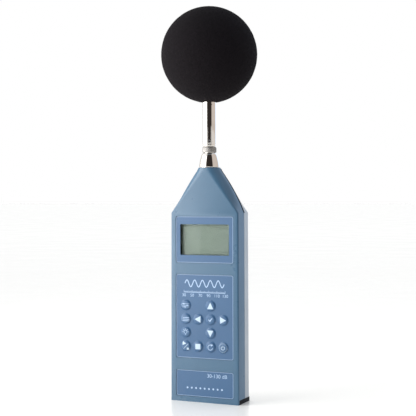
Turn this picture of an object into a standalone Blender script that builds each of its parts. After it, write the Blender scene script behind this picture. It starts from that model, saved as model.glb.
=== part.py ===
"""Hand-held sound level meter with a foam windshield, modelled as its separate pieces.

The case stands on its end panel. The microphone axis is world Z, the display faces -Y,
and the origin is the middle of the base under the microphone axis. Units are metres.
"""

import math

import bmesh
import bpy
from mathutils import Matrix, Vector

# Case
BASE_WIDTH = 0.0696
SHOULDER_WIDTH = 0.0684
FRONT_Y = -0.0125
REAR_Y = 0.0133
SEAM_Y = 0.0020
SHOULDER_Z = 0.1765
NOSE_TOP_Z = 0.2187
NOSE_RADIUS = 0.0096
FRONT_EDGE_RADIUS = 0.0015
REAR_EDGE_RADIUS = 0.0025
NOSE_FLAT = 0.0008
NOSE_BULGE = 0.0080
WALL = 0.0022
GAP = 0.0003
OUTER_FACETS = {"nose_sections": 12, "side_steps": 12, "corner_steps": 5}
INNER_FACETS = {"nose_sections": 4, "side_steps": 6, "corner_steps": 2}

# End panel that closes the bottom of the case
PANEL_HEIGHT = 0.0040
PANEL_REAR_Y = 0.0144
PANEL_PLUG_HEIGHT = 0.0030
PANEL_FRONT_SKIN = 0.0012

# Sockets in the end panel: distance along X and height of each one's upper end
SOCKET_Y = 0.0030
SOCKET_FACE_Z = 0.0006
SOCKETS = {"io_socket": (-0.0190, 0.0088), "dc_jack": (0.0190, 0.0085), "output_jack": (0.0, 0.0085)}
IO_SOCKET_SIZE = (0.0140, 0.0072)
DC_JACK_RADIUS = 0.0045
OUTPUT_JACK_RADIUS = 0.0040

# Film overlays: lower and upper edges of the three recesses in the front
OVERLAY_HALF_WIDTH = 0.0293
OVERLAY_SPANS = {
    "display_overlay": (0.1297, 0.1733),
    "keypad_overlay": (0.0407, 0.1192),
    "lower_overlay": (0.0050, 0.0296),
}
OVERLAY_CORNER = 0.0018
RECESS_DEPTH = 0.0010
FILM_THICKNESS = 0.0004
FILM_EDGE_GAP = 0.0003

# Liquid crystal display
LCD_HALF_WIDTH = 0.0248
LCD_BOTTOM_Z = 0.1371
LCD_TOP_Z = 0.1658
BEZEL_LIP = 0.0008
BEZEL_MARGIN = 0.0042
DISPLAY_LAYERS = (
    ("display_window", 0.0008, "window_clear"),
    ("lcd_glass", 0.0008, "lcd_green"),
    ("lcd_backlight", 0.0003, "light_white"),
)

# Keys: column and row numbers count from the upper left of the grid
KEY_PITCH = 0.0127
KEY_TOP_ROW_Z = 0.0901
KEY_RADIUS = 0.00515
KEY_FLANGE_RADIUS = 0.0059
KEY_HEIGHT = 0.0007
KEY_TRAVEL = 0.0005
KEY_NAMES = {
    "key_setup": (0, 0),
    "key_menu": (0, 1),
    "key_light": (0, 2),
    "key_play_pause": (0, 3),
    "key_left": (1, 1),
    "key_stop": (1, 3),
    "key_up": (2, 0),
    "key_ok": (2, 1),
    "key_down": (2, 2),
    "key_reset": (2, 3),
    "key_right": (3, 1),
    "key_power": (3, 3),
}

# Layers behind the front wall, from front to back
KEY_PLUNGER_Y = -0.0082
DOME_SHEET_Y = (-0.0076, -0.0073)
BOARD_Y = (-0.0072, -0.0058)
BOARD_HALF_WIDTH = 0.0255
BOARD_Z = (0.0120, 0.1720)

# Battery compartment, behind a door hinged along its lower edge
CELL_RADIUS = 0.0070
CELL_LENGTH = 0.0505
CELL_NIPPLE_HEIGHT = 0.0010
CELL_NIPPLE_RADIUS = 0.0027
CELL_X = 0.0073
CELL_Y = 0.0035
CELL_BOTTOM_Z = 0.0140
TRAY_HALF_WIDTH = 0.0158
TRAY_Z = (0.0095, 0.1180)
TRAY_Y = (-0.0047, 0.0106)
TRAY_WALL = 0.0008
DOOR_HALF_WIDTH = 0.0160
DOOR_Z = (0.0110, 0.1165)
DOOR_THICKNESS = 0.0022
DOOR_PIN_RADIUS = 0.0006
DOOR_PIN_LENGTH = 0.0044
PIN_CLEARANCE = 0.00006

# Case screws and tripod insert
SCREW_ROWS = {"lower": (0.0292, 0.0140), "upper": (0.0240, 0.1800)}
SCREW_RADIUS = 0.0011
SCREW_LENGTH = 0.0148
SCREW_HEAD_RADIUS = 0.0022
SCREW_BOSS_RADIUS = 0.0027
TRIPOD_Z = 0.1400
TRIPOD_BORE_RADIUS = 0.0032
TRIPOD_INSERT_RADIUS = 0.0050
TRIPOD_BOSS_RADIUS = 0.0075
TRIPOD_FRONT_Y = 0.0053

# Nose cone, locking ring and preamplifier, all turned about Z
CONE_OUTLINE = ((0.0095, 0.2190), (0.0096, 0.2210), (0.00875, 0.2257), (0.0076, 0.2301), (0.0060, 0.2323))
CONE_SHANK_RADIUS = 0.0059
CONE_SHANK_BOTTOM_Z = 0.2115
NUT_CORNER_RADIUS = 0.0070
SOCKET_BORE_RADIUS = 0.0050
SOCKET_FLOOR_Z = 0.2245
RING_RADIUS = 0.0066
RING_Z = (0.2327, 0.2381)
RING_KNURLS = 24
SPIGOT_RADIUS = 0.0046
SPIGOT_BOTTOM_Z = 0.2290
FLANGE_RADIUS = 0.0063
FLANGE_Z = (0.2384, 0.2402)
TUBE_RADIUS = 0.00635
TUBE_WALL = 0.0008
TUBE_TOP_Z = 0.3160
GRUB_SCREW = {"radius": 0.0010, "z": 0.2439, "turn": math.radians(24)}
VENT_HOLE = {"radius": 0.0005, "z": 0.2775, "turn": math.radians(43)}

# Half-inch condenser microphone
CAPSULE_TOP_Z = 0.3262
GRID_RADIUS = 0.0066
GRID_Z = (0.3265, 0.3330)
GRID_SLOTS = 6

# Foam windshield
BALL_RADIUS = 0.0453
BALL_CENTRE_Z = 0.3242
BALL_BORE_RADIUS = 0.0069
BALL_BORE_TOP_Z = 0.3360

ROUND_STEPS = 40
SMALL_STEPS = 16
SMOOTH_ANGLE = math.radians(35)
FACING_FRONT = (math.radians(90), 0, 0)
FACING_REAR = (math.radians(-90), 0, 0)

COLOURS = {
    "case_blue": ((0.145, 0.255, 0.390), 0.45, 0.0),
    "film_blue": ((0.120, 0.235, 0.405), 0.35, 0.0),
    "key_blue": ((0.160, 0.290, 0.450), 0.30, 0.0),
    "panel_black": ((0.016, 0.017, 0.020), 0.50, 0.0),
    "rear_grey": ((0.420, 0.440, 0.460), 0.50, 0.0),
    "chrome": ((0.780, 0.760, 0.730), 0.12, 1.0),
    "brass": ((0.600, 0.420, 0.160), 0.30, 1.0),
    "steel": ((0.500, 0.500, 0.510), 0.35, 1.0),
    "foam": ((0.012, 0.011, 0.013), 0.95, 0.0),
    "window_clear": ((0.850, 0.900, 0.900), 0.05, 0.0),
    "lcd_green": ((0.300, 0.370, 0.320), 0.25, 0.0),
    "light_white": ((0.800, 0.800, 0.750), 0.40, 0.0),
    "rubber_grey": ((0.080, 0.085, 0.095), 0.70, 0.0),
    "board_green": ((0.020, 0.120, 0.050), 0.45, 0.0),
    "chip_black": ((0.014, 0.014, 0.015), 0.45, 0.0),
    "cell_wrap": ((0.050, 0.055, 0.065), 0.30, 0.0),
    "insulator_white": ((0.700, 0.690, 0.650), 0.40, 0.0),
}


def clear_scene():
    for obj in list(bpy.data.objects):
        bpy.data.objects.remove(obj, do_unlink=True)


def make_materials():
    materials = {}
    for name, (colour, roughness, metallic) in COLOURS.items():
        material = bpy.data.materials.new(name)
        material.use_nodes = True
        shader = material.node_tree.nodes["Principled BSDF"]
        shader.inputs["Base Color"].default_value = (*colour, 1.0)
        shader.inputs["Roughness"].default_value = roughness
        shader.inputs["Metallic"].default_value = metallic
        materials[name] = material
    return materials


def add_object(name, bm, material, location=(0, 0, 0), rotation=(0, 0, 0)):
    """Makes an object from a bmesh, round surfaces shaded smooth."""
    bmesh.ops.remove_doubles(bm, verts=bm.verts, dist=1e-6)
    bmesh.ops.recalc_face_normals(bm, faces=bm.faces)
    mesh = bpy.data.meshes.new(name)
    bm.to_mesh(mesh)
    bm.free()
    mesh.shade_smooth()
    mesh.set_sharp_from_angle(angle=SMOOTH_ANGLE)
    obj = bpy.data.objects.new(name, mesh)
    obj.location = location
    obj.rotation_euler = rotation
    bpy.context.scene.collection.objects.link(obj)
    if material:
        mesh.materials.append(MATERIALS[material])
    return obj


def add_cutter(name, bm, location=(0, 0, 0), rotation=(0, 0, 0)):
    cutter = add_object(name, bm, None, location, rotation)
    cutter.hide_render = True
    cutter.display_type = "WIRE"
    return cutter


def combine(obj, tool, operation):
    modifier = obj.modifiers.new(tool.name, "BOOLEAN")
    modifier.object = tool
    modifier.operation = operation
    modifier.solver = "EXACT"


def cut(obj, *cutters):
    for cutter in cutters:
        combine(obj, cutter, "DIFFERENCE")


def fuse(obj, *tools):
    for tool in tools:
        combine(obj, tool, "UNION")


def loft(bm, loops):
    """Skins closed loops of equal length, given upwards and counter-clockwise from above."""
    rings = [[bm.verts.new(point) for point in loop] for loop in loops]
    for lower, upper in zip(rings, rings[1:]):
        for i in range(len(lower)):
            j = (i + 1) % len(lower)
            bm.faces.new((lower[i], lower[j], upper[j], upper[i]))
    bm.faces.new(list(reversed(rings[0])))
    bm.faces.new(rings[-1])


def spin(bm, profile, steps=ROUND_STEPS, tube=False):
    """Turns (radius, height) points about Z. A tube's outline runs up outside and down inside."""
    angles = [2 * math.pi * i / steps for i in range(steps)]
    rings = []
    for radius, height in profile:
        if radius == 0:
            rings.append([bm.verts.new((0, 0, height))])
        else:
            rings.append([bm.verts.new((radius * math.cos(a), radius * math.sin(a), height)) for a in angles])
    pairs = list(zip(rings, rings[1:]))
    if tube:
        pairs.append((rings[-1], rings[0]))
    pairs = [pair for pair in pairs if len(pair[0]) + len(pair[1]) > 2]
    for lower, upper in pairs:
        for i in range(steps):
            j = (i + 1) % steps
            ends = [lower[i % len(lower)], lower[j % len(lower)]]
            ends += [upper[j % len(upper)], upper[i % len(upper)]]
            bm.faces.new(list(dict.fromkeys(ends)))


def solid_profile(*points):
    """Closes an outline of (radius, height) points onto the axis at both ends."""
    return ((0, points[0][1]), *points, (0, points[-1][1]))


def turned(name, points, material, location=(0, 0, 0), rotation=(0, 0, 0), steps=ROUND_STEPS, tube=False):
    bm = bmesh.new()
    spin(bm, points if tube else solid_profile(*points), steps, tube)
    return add_object(name, bm, material, location, rotation)


def add_block(bm, x_span, y_span, z_span):
    """Adds a box given by its low and high corner on each axis."""
    spans = (x_span, y_span, z_span)
    centre = Vector([(low + high) / 2 for low, high in spans])
    size = Vector([high - low for low, high in spans])
    bmesh.ops.create_cube(bm, size=1, matrix=Matrix.Translation(centre) @ Matrix.Diagonal((*size, 1)))


def block(name, x_span, y_span, z_span, material, bevel=0.0):
    bm = bmesh.new()
    add_block(bm, x_span, y_span, z_span)
    if bevel:
        bmesh.ops.bevel(bm, geom=bm.edges[:], offset=bevel, segments=2, profile=0.5, affect="EDGES")
    return add_object(name, bm, material)


def block_cutter(name, *boxes):
    bm = bmesh.new()
    for box in boxes:
        add_block(bm, *box)
    return add_cutter(name, bm)


def add_rod(bm, radius, x, z, y_span, steps=SMALL_STEPS):
    """Adds a cylinder along Y."""
    low, high = y_span
    place = Matrix.Translation((x, (low + high) / 2, z)) @ Matrix.Rotation(math.pi / 2, 4, "X")
    bmesh.ops.create_cone(
        bm, cap_ends=True, segments=steps, radius1=radius, radius2=radius, depth=high - low, matrix=place
    )


def rod_cutter(name, radius, places, y_span, steps=SMALL_STEPS):
    bm = bmesh.new()
    for x, z in places:
        add_rod(bm, radius, x, z, y_span, steps)
    return add_cutter(name, bm)


def rounded_outline(half_width, bottom, top, radius, steps=4):
    """Counter-clockwise (x, z) outline of a rectangle with round corners, seen from the front."""
    corners = (
        (half_width - radius, bottom + radius, -90),
        (half_width - radius, top - radius, 0),
        (radius - half_width, top - radius, 90),
        (radius - half_width, bottom + radius, 180),
    )
    points = []
    for x, z, start in corners:
        for step in range(steps + 1):
            angle = math.radians(start + 90 * step / steps)
            points.append((x + radius * math.cos(angle), z + radius * math.sin(angle)))
    return points


def add_plate(bm, outline, y_span):
    """Adds a plate with an (x, z) outline, between two Y planes."""
    loft(bm, [[(x, y, z) for x, z in outline] for y in y_span])


def blend(start, end, share):
    return start + (end - start) * share


def arc_points(corner, before, after, steps):
    """Quadratic rounding of a corner, from a point before it to a point after it."""
    points = []
    for step in range(steps + 1):
        t = step / steps
        points.append(before * (1 - t) ** 2 + corner * 2 * t * (1 - t) + after * t**2)
    return points


def case_section(z, inset, side_steps, corner_steps):
    """Outline of the case at height z: a box below the shoulder that becomes a circle at the nose.

    The flat front and rear run up to the foremost and rearmost points of the circle. Each side of
    the box turns evenly into half of the circle, bulged so that the flanks look straight.
    """
    rise = min(max((z - SHOULDER_Z) / (NOSE_TOP_Z - SHOULDER_Z), 0.0), 1.0)
    width = blend(BASE_WIDTH, SHOULDER_WIDTH, min(max(z / SHOULDER_Z, 0.0), 1.0))
    box_half = width / 2 - inset
    circle = NOSE_RADIUS - inset
    front = FRONT_Y + inset
    rear = REAR_Y - inset
    flat_half = max(blend(box_half, 0.0, rise), NOSE_FLAT)
    bulge = NOSE_BULGE * rise * (1 - rise)

    def side(share):
        """Point on the right side, from the front corner at 0 to the rear corner at 1."""
        angle = math.pi * share
        out = max(math.sin(angle), 0.0)
        y = blend(blend(front, rear, share), -circle * math.cos(angle), rise)
        return Vector((flat_half + rise * circle * out + bulge * math.sqrt(out), y))

    steps = 200
    line = [side(i / steps) for i in range(steps + 1)]
    length = [0.0]
    for i in range(steps):
        length.append(length[-1] + (line[i + 1] - line[i]).length)

    def along(distance):
        i = 1
        while i < steps and length[i] < distance:
            i += 1
        share = (distance - length[i - 1]) / max(length[i] - length[i - 1], 1e-9)
        return line[i - 1].lerp(line[i], share)

    front_reach = max(FRONT_EDGE_RADIUS - inset, NOSE_FLAT)
    rear_reach = max(REAR_EDGE_RADIUS - inset, NOSE_FLAT)
    front_flat = Vector((min(front_reach, flat_half - NOSE_FLAT / 2), 0))
    rear_flat = Vector((min(rear_reach, flat_half - NOSE_FLAT / 2), 0))
    right = arc_points(line[0], line[0] - front_flat, along(front_reach), corner_steps)
    stretch = length[-1] - front_reach - rear_reach
    right += [along(front_reach + stretch * i / side_steps) for i in range(1, side_steps)]
    right += arc_points(line[-1], along(length[-1] - rear_reach), line[-1] - rear_flat, corner_steps)
    left = [Vector((-point.x, point.y)) for point in reversed(right)]
    return [(point.x, point.y, z) for point in right + left]


def add_case_hull(bm, bottom, top, inset, nose_sections, side_steps, corner_steps):
    heights = [bottom]
    for i in range(nose_sections + 1):
        height = blend(SHOULDER_Z, NOSE_TOP_Z, i / nose_sections)
        if height < top - GAP:
            heights.append(height)
    heights.append(top)
    loft(bm, [case_section(z, inset, side_steps, corner_steps) for z in heights])
    bmesh.ops.triangulate(bm, faces=bm.faces[:])


def case_half(name, material):
    """The full outside of the case, to be cut down to one of its shells."""
    bm = bmesh.new()
    add_case_hull(bm, 0.0, NOSE_TOP_Z, 0.0, **OUTER_FACETS)
    return add_object(name, bm, material)


def screw_places():
    return [(side * x, z) for side in (-1, 1) for x, z in SCREW_ROWS.values()]


def key_place(name):
    column, row = KEY_NAMES[name]
    return (column - 1.5) * KEY_PITCH, KEY_TOP_ROW_Z - row * KEY_PITCH


def key_places():
    return [key_place(name) for name in KEY_NAMES]


def shared_cutters():
    """Cutters that more than one piece of the case uses."""
    bm = bmesh.new()
    add_case_hull(bm, -0.005, NOSE_TOP_Z - WALL, WALL, **INNER_FACETS)
    cavity = add_cutter("cavity_cutter", bm)
    bm = bmesh.new()
    spin(bm, solid_profile((CONE_SHANK_RADIUS + GAP, 0.205), (CONE_SHANK_RADIUS + GAP, 0.225)))
    nose_bore = add_cutter("nose_bore_cutter", bm)
    keys = rod_cutter("key_cutter", KEY_RADIUS + GAP, key_places(), (-0.014, -0.009), 20)
    window = window_cutter("window_cutter", 0.0)
    return cavity, nose_bore, keys, window


def window_outline(margin):
    """Outline of the display opening, made larger all round by a margin."""
    half = LCD_HALF_WIDTH + margin
    return rounded_outline(half, LCD_BOTTOM_Z - margin, LCD_TOP_Z + margin, 0.0008 + margin / 2)


def window_cutter(name, margin):
    bm = bmesh.new()
    add_plate(bm, window_outline(margin), (-0.014, -0.002))
    return add_cutter(name, bm)


def front_shell(cavity, nose_bore, keys):
    shell = case_half("front_shell", "case_blue")
    bm = bmesh.new()
    for x, z in screw_places():
        add_rod(bm, SCREW_BOSS_RADIUS, x, z, (FRONT_Y + WALL / 2, SEAM_Y - GAP), SMALL_STEPS)
    bosses = add_cutter("front_boss_tool", bm)
    rear_half = block_cutter("front_seam_cutter", ((-0.04, 0.04), (SEAM_Y, 0.03), (-0.01, 0.23)))
    sides = block_cutter(
        "front_base_cutter", ((-0.04, 0.04), (FRONT_Y + PANEL_FRONT_SKIN, 0.03), (-0.01, PANEL_HEIGHT + GAP))
    )
    bm = bmesh.new()
    for bottom, top in OVERLAY_SPANS.values():
        outline = rounded_outline(OVERLAY_HALF_WIDTH, bottom, top, OVERLAY_CORNER)
        add_plate(bm, outline, (-0.014, FRONT_Y + RECESS_DEPTH))
    recesses = add_cutter("recess_cutter", bm)
    pilots = rod_cutter("pilot_cutter", SCREW_RADIUS + GAP, screw_places(), (-0.007, 0.004), 12)
    cut(shell, cavity)
    fuse(shell, bosses)
    window = window_cutter("shell_window_cutter", BEZEL_LIP + GAP)
    cut(shell, rear_half, sides, recesses, window, keys, pilots, nose_bore)
    return shell


def rear_shell(cavity, nose_bore):
    shell = case_half("rear_shell", "rear_grey")
    bm = bmesh.new()
    for x, z in screw_places():
        add_rod(bm, SCREW_BOSS_RADIUS, x, z, (SEAM_Y + GAP, REAR_Y - WALL / 2), SMALL_STEPS)
    add_rod(bm, TRIPOD_BOSS_RADIUS, 0, TRIPOD_Z, (TRIPOD_FRONT_Y, REAR_Y - WALL / 2), 24)
    bosses = add_cutter("rear_boss_tool", bm)
    front_half = block_cutter("rear_seam_cutter", ((-0.04, 0.04), (-0.03, SEAM_Y + GAP), (-0.01, 0.23)))
    base = block_cutter("rear_base_cutter", ((-0.04, 0.04), (-0.03, 0.03), (-0.01, PANEL_HEIGHT + GAP)))
    low, high = DOOR_Z
    half = DOOR_HALF_WIDTH + GAP
    door_way = block_cutter("door_way_cutter", ((-half, half), (0.005, 0.02), (low - GAP, high + GAP)))
    shafts = rod_cutter("screw_shaft_cutter", SCREW_RADIUS + GAP, screw_places(), (0.001, REAR_Y + 0.0015), 12)
    heads = rod_cutter(
        "screw_head_cutter", SCREW_HEAD_RADIUS + GAP, screw_places(), (REAR_Y - 0.0021, REAR_Y + 0.0015), SMALL_STEPS
    )
    tripod = rod_cutter("tripod_cutter", TRIPOD_INSERT_RADIUS + GAP / 3, [(0, TRIPOD_Z)], (0.003, REAR_Y + 0.0015), 24)
    cut(shell, cavity)
    fuse(shell, bosses)
    cut(shell, front_half, base, door_way, door_pin_bores("shell"), shafts, heads, tripod, nose_bore)
    return shell


def door_axis():
    return REAR_Y - DOOR_THICKNESS / 2, DOOR_Z[0] + DOOR_THICKNESS / 2


def door_pin_centre(side):
    return side * (DOOR_HALF_WIDTH + GAP / 2)


def door_pin_bores(owner):
    """The two small bores that the door's hinge pins sit in."""
    y, z = door_axis()
    bm = bmesh.new()
    for side in (-1, 1):
        place = Matrix.Translation((door_pin_centre(side), y, z)) @ Matrix.Rotation(math.pi / 2, 4, "Y")
        radius = DOOR_PIN_RADIUS + PIN_CLEARANCE
        bmesh.ops.create_cone(
            bm,
            cap_ends=True,
            segments=12,
            radius1=radius,
            radius2=radius,
            depth=DOOR_PIN_LENGTH + 2 * GAP,
            matrix=place,
        )
    return add_cutter(owner + "_pin_cutter", bm)


def battery_door():
    """Door flush with the rear face, its lower edge rounded about the hinge axis, with grip ribs."""
    axis_y, axis_z = door_axis()
    half_thick = DOOR_THICKNESS / 2
    outline = [(half_thick, 0.0)]
    outline.append((half_thick, DOOR_Z[1] - axis_z))
    outline.append((-half_thick, DOOR_Z[1] - axis_z))
    outline.append((-half_thick, 0.0))
    for step in range(1, 6):
        angle = math.pi + math.pi * step / 6
        outline.append((half_thick * math.cos(angle), half_thick * math.sin(angle)))
    bm = bmesh.new()
    half = DOOR_HALF_WIDTH
    rings = [[bm.verts.new((x, y, z)) for y, z in outline] for x in (-half, half)]
    for i in range(len(outline)):
        j = (i + 1) % len(outline)
        bm.faces.new((rings[0][i], rings[0][j], rings[1][j], rings[1][i]))
    bm.faces.new(rings[0])
    bm.faces.new(list(reversed(rings[1])))
    door = add_object("battery_door", bm, "rear_grey", (0, axis_y, axis_z))
    bm = bmesh.new()
    for i in range(5):
        z = DOOR_Z[1] - 0.006 - i * 0.0022
        add_block(bm, (-0.007, 0.007), (REAR_Y - 0.0006, REAR_Y + 0.0001), (z - 0.0005, z + 0.0005))
    grooves = add_cutter("door_grip_cutter", bm)
    cut(door, door_pin_bores("door"), grooves)
    return door


def door_pins():
    axis_y, axis_z = door_axis()
    for side, word in ((-1, "left"), (1, "right")):
        outline = [(DOOR_PIN_RADIUS, -DOOR_PIN_LENGTH / 2), (DOOR_PIN_RADIUS, DOOR_PIN_LENGTH / 2)]
        place = (door_pin_centre(side), axis_y, axis_z)
        turned("door_pin_" + word, outline, "steel", place, (0, math.pi / 2, 0), 12)


def end_panel():
    """Black panel under the case, with a plug that enters the shells and three socket openings."""
    bm = bmesh.new()
    front = FRONT_Y + PANEL_FRONT_SKIN + GAP / 2
    outline = rounded_outline(BASE_WIDTH / 2 - GAP, front, PANEL_REAR_Y, 0.0010)
    loft(bm, [[(x, y, z) for x, y in outline] for z in (0.0, PANEL_HEIGHT)])
    panel = add_object("end_panel", bm, "panel_black")
    inside = BASE_WIDTH / 2 - WALL - 2 * GAP
    plug_rear = REAR_Y - WALL - GAP
    bm = bmesh.new()
    plug = rounded_outline(inside, FRONT_Y + WALL + GAP, plug_rear, 0.0006)
    loft(bm, [[(x, y, z) for x, y in plug] for z in (0.0005, PANEL_HEIGHT + PANEL_PLUG_HEIGHT)])
    fuse(panel, add_cutter("panel_plug_tool", bm))
    bm = bmesh.new()
    for name, radius in (("dc_jack", DC_JACK_RADIUS + GAP), ("output_jack", OUTPUT_JACK_RADIUS + GAP)):
        place = Matrix.Translation((SOCKETS[name][0], SOCKET_Y, 0.004))
        bmesh.ops.create_cone(
            bm, cap_ends=True, segments=24, radius1=radius, radius2=radius, depth=0.02, matrix=place
        )
    width = IO_SOCKET_SIZE[0] / 2 + GAP
    depth = IO_SOCKET_SIZE[1] / 2 + GAP
    x = SOCKETS["io_socket"][0]
    add_block(bm, (x - width, x + width), (SOCKET_Y - depth, SOCKET_Y + depth), (-0.01, 0.02))
    cut(panel, add_cutter("socket_way_cutter", bm))
    return panel


def sockets():
    """Data socket, power jack and signal output jack, all facing down out of the end panel."""
    x, top = SOCKETS["io_socket"]
    width = IO_SOCKET_SIZE[0] / 2
    depth = IO_SOCKET_SIZE[1] / 2
    spans = ((x - width, x + width), (SOCKET_Y - depth, SOCKET_Y + depth), (SOCKET_FACE_Z, top))
    io_socket = block("io_socket", *spans, "chip_black", 0.0003)
    slots = []
    for side in (-1, 1):
        y = SOCKET_Y + side * depth / 3
        half = 0.75 * width
        slots.append(((x - half, x + half), (y - depth / 6, y + depth / 6), (-0.01, 0.8 * top)))
    cut(io_socket, block_cutter("io_mouth_cutter", *slots))
    x, top = SOCKETS["dc_jack"]
    bm = bmesh.new()
    floor = top - 0.0015
    pin = ((0.0, 0.0014), (0.0006, 0.0014), (0.0010, 0.0022), (0.0010, floor), (0.0028, floor))
    barrel = ((0.0028, SOCKET_FACE_Z), (DC_JACK_RADIUS, SOCKET_FACE_Z), (DC_JACK_RADIUS, top), (0.0, top))
    spin(bm, (*pin, *barrel), 24)
    add_object("dc_jack", bm, "chip_black", (x, SOCKET_Y, 0))
    x, top = SOCKETS["output_jack"]
    bm = bmesh.new()
    floor = top - 0.0012
    bore = ((0.0, floor), (0.0018, floor), (0.0018, SOCKET_FACE_Z))
    spin(bm, (*bore, (OUTPUT_JACK_RADIUS, SOCKET_FACE_Z), (OUTPUT_JACK_RADIUS, top), (0.0, top)), 24)
    add_object("output_jack", bm, "chrome", (x, SOCKET_Y, 0))


def overlays(keys, window):
    """Printed films that lie in the recesses of the front."""
    for name, (bottom, top) in OVERLAY_SPANS.items():
        outline = rounded_outline(
            OVERLAY_HALF_WIDTH - FILM_EDGE_GAP, bottom + FILM_EDGE_GAP, top - FILM_EDGE_GAP, OVERLAY_CORNER
        )
        bm = bmesh.new()
        back = FRONT_Y + RECESS_DEPTH - 0.0001
        add_plate(bm, outline, (back - FILM_THICKNESS, back))
        film = add_object(name, bm, "film_blue")
        if name == "keypad_overlay":
            cut(film, keys)
        if name == "display_overlay":
            cut(film, window)


def display(window):
    """Black bezel with a lip through the front wall, then the window, display cell and light panel."""
    inner = FRONT_Y + WALL
    flange_y = (inner + 0.0001, inner + 0.0009)
    lip_y = (FRONT_Y + RECESS_DEPTH + 0.0001, flange_y[1] - 0.0002)
    bm = bmesh.new()
    add_plate(bm, window_outline(BEZEL_MARGIN), flange_y)
    bezel = add_object("lcd_bezel", bm, "chip_black")
    bm = bmesh.new()
    add_plate(bm, window_outline(BEZEL_LIP), lip_y)
    fuse(bezel, add_cutter("bezel_lip_tool", bm))
    cut(bezel, window)
    half = LCD_HALF_WIDTH + 0.0020
    span_z = (LCD_BOTTOM_Z - 0.0020, LCD_TOP_Z + 0.0020)
    layer = flange_y[1]
    for name, thickness, material in DISPLAY_LAYERS:
        block(name, (-half, half), (layer + 0.0001, layer + 0.0001 + thickness), span_z, material)
        layer += 0.0001 + thickness


def keys():
    """Domed keys that press in along +Y, each with a flange behind the front wall."""
    inner = FRONT_Y + WALL
    outline = [
        (0.0016, 0.0),
        (0.0016, KEY_PLUNGER_Y - inner - GAP - 0.0008),
        (KEY_FLANGE_RADIUS, KEY_PLUNGER_Y - inner - GAP - 0.0008),
        (KEY_FLANGE_RADIUS, KEY_PLUNGER_Y - inner - GAP),
        (KEY_RADIUS, KEY_PLUNGER_Y - inner - GAP),
        (KEY_RADIUS, KEY_PLUNGER_Y - FRONT_Y + 0.25 * KEY_HEIGHT),
        (0.90 * KEY_RADIUS, KEY_PLUNGER_Y - FRONT_Y + 0.70 * KEY_HEIGHT),
        (0.55 * KEY_RADIUS, KEY_PLUNGER_Y - FRONT_Y + KEY_HEIGHT),
    ]
    for name in KEY_NAMES:
        x, z = key_place(name)
        turned(name, outline, "key_blue", (x, KEY_PLUNGER_Y, z), FACING_FRONT, SMALL_STEPS)


def electronics():
    block("dome_sheet", (-0.0252, 0.0252), DOME_SHEET_Y, (0.0450, 0.0970), "rubber_grey")
    block("main_board", (-BOARD_HALF_WIDTH, BOARD_HALF_WIDTH), BOARD_Y, BOARD_Z, "board_green")
    rear = BOARD_Y[1] + 0.0001
    block("processor_chip", (-0.0220, -0.0080), (rear, rear + 0.0016), (0.1460, 0.1600), "chip_black", 0.0002)
    block("analog_shield", (0.0100, 0.0230), (rear, rear + 0.0035), (0.1420, 0.1680), "steel", 0.0002)


def battery_pack():
    """Four cells in two columns, in a tray with one spring, one plate and one bridge contact."""
    bm = bmesh.new()
    add_block(bm, (-TRAY_HALF_WIDTH, TRAY_HALF_WIDTH), TRAY_Y, TRAY_Z)
    tray = add_object("battery_tray", bm, "chip_black")
    inner = TRAY_HALF_WIDTH - TRAY_WALL
    hollow = ((-inner, inner), (TRAY_Y[0] + TRAY_WALL, 0.02), (TRAY_Z[0] + TRAY_WALL, TRAY_Z[1] - TRAY_WALL))
    cut(tray, block_cutter("tray_cutter", hollow))
    shoulder = CELL_LENGTH - CELL_NIPPLE_HEIGHT
    outline = [
        (CELL_RADIUS - 0.0004, 0.0),
        (CELL_RADIUS, 0.0004),
        (CELL_RADIUS, shoulder - 0.0004),
        (CELL_RADIUS - 0.0004, shoulder),
        (CELL_NIPPLE_RADIUS, shoulder),
        (CELL_NIPPLE_RADIUS, CELL_LENGTH),
    ]
    step = CELL_LENGTH + GAP
    top = CELL_BOTTOM_Z + 2 * step
    for column, x in enumerate((-CELL_X, CELL_X)):
        for level in range(2):
            name = f"battery_{2 * column + level + 1}"
            upright = (x, CELL_Y, CELL_BOTTOM_Z + level * step), (0, 0, 0)
            inverted = (x, CELL_Y, top - level * step - GAP), (math.pi, 0, 0)
            place, rotation = inverted if column else upright
            turned(name, outline, "cell_wrap", place, rotation, SMALL_STEPS)
    floor = TRAY_Z[0] + TRAY_WALL + 0.0001
    width = 0.0055
    plate = ((CELL_X - width, CELL_X + width), (CELL_Y - width, CELL_Y + width), (floor, CELL_BOTTOM_Z - GAP))
    block("battery_plate", *plate, "steel", 0.0003)
    ceiling = TRAY_Z[1] - TRAY_WALL - 0.0001
    bridge = ((-CELL_X - width, CELL_X + width), (CELL_Y - width, CELL_Y + width), (top, ceiling))
    block("battery_bridge", *bridge, "steel", 0.0003)
    battery_spring(floor, CELL_BOTTOM_Z - GAP)


def battery_spring(bottom, top):
    """Conical compression spring under the first column."""
    wire = 0.0003
    turns = 2.5
    points = []
    steps = 25
    for i in range(steps + 1):
        share = i / steps
        angle = 2 * math.pi * turns * share
        radius = blend(0.0050, 0.0026, share)
        height = blend(bottom + wire, top - wire, share)
        points.append((radius * math.cos(angle), radius * math.sin(angle), height))
    curve = bpy.data.curves.new("battery_spring", "CURVE")
    curve.dimensions = "3D"
    curve.bevel_depth = wire
    curve.bevel_resolution = 1
    curve.use_fill_caps = True
    spline = curve.splines.new("POLY")
    spline.points.add(len(points) - 1)
    for point, position in zip(spline.points, points):
        point.co = (*position, 1)
    curve.materials.append(MATERIALS["steel"])
    obj = bpy.data.objects.new("battery_spring", curve)
    obj.location = (-CELL_X, CELL_Y, 0)
    bpy.context.scene.collection.objects.link(obj)


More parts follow.
